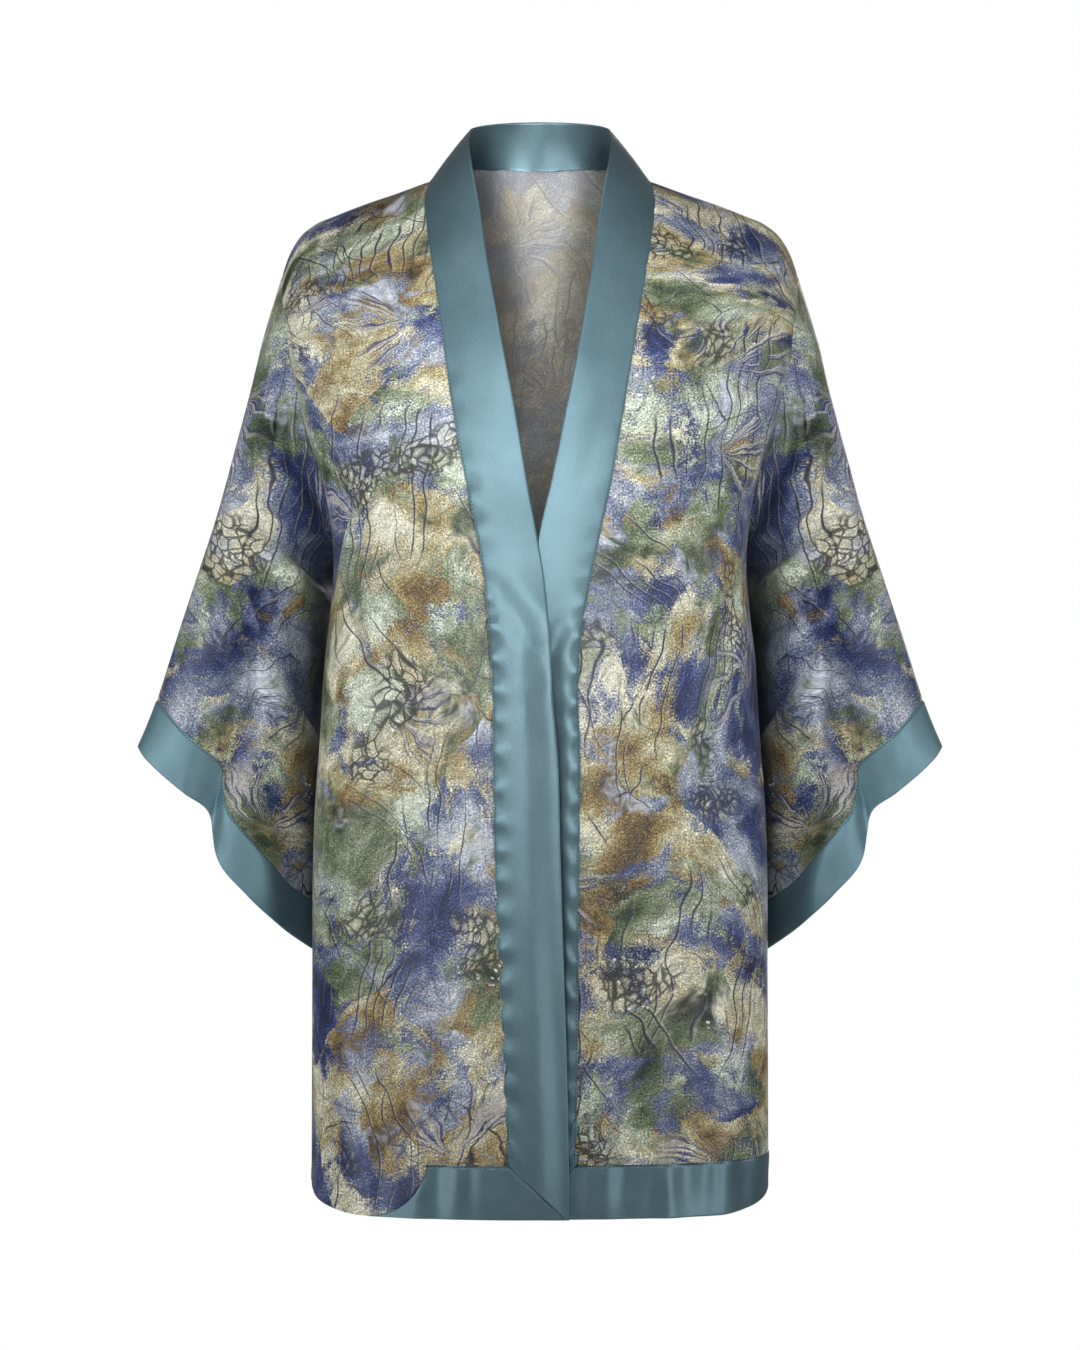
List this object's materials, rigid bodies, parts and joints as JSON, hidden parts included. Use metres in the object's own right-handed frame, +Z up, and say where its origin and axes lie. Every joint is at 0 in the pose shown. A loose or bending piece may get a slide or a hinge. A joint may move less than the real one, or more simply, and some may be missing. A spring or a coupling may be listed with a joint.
{
  "type": "kimono robe",
  "caption": "Short wrap robe of printed satin with wide open sleeves and plain satin bands at the neck, cuffs and hem, hollow in its worn shape.",
  "frame": {"origin": "midway between the two points where the neckband crosses the shoulder line, which is where the wearer's shoulders carry the robe", "axes": "+X towards the wearer's left sleeve, -Y towards the front opening, +Z up"},
  "size_m": [0.7026, 0.2457, 0.9448],
  "materials": {
    "print_satin": "satin with a painterly print, soft sheen",
    "band_satin": "plain satin, soft sheen"
  },
  "bodies": {
    "root": {"back": "print_satin", "front_right": "print_satin", "front_left": "print_satin", "sleeve_right": "print_satin", "sleeve_left": "print_satin", "neckband": "band_satin", "cuff_right": "band_satin", "cuff_left": "band_satin", "hem_back": "band_satin", "hem_front_right": "band_satin", "hem_front_left": "band_satin"}
  },
  "joints": []
}
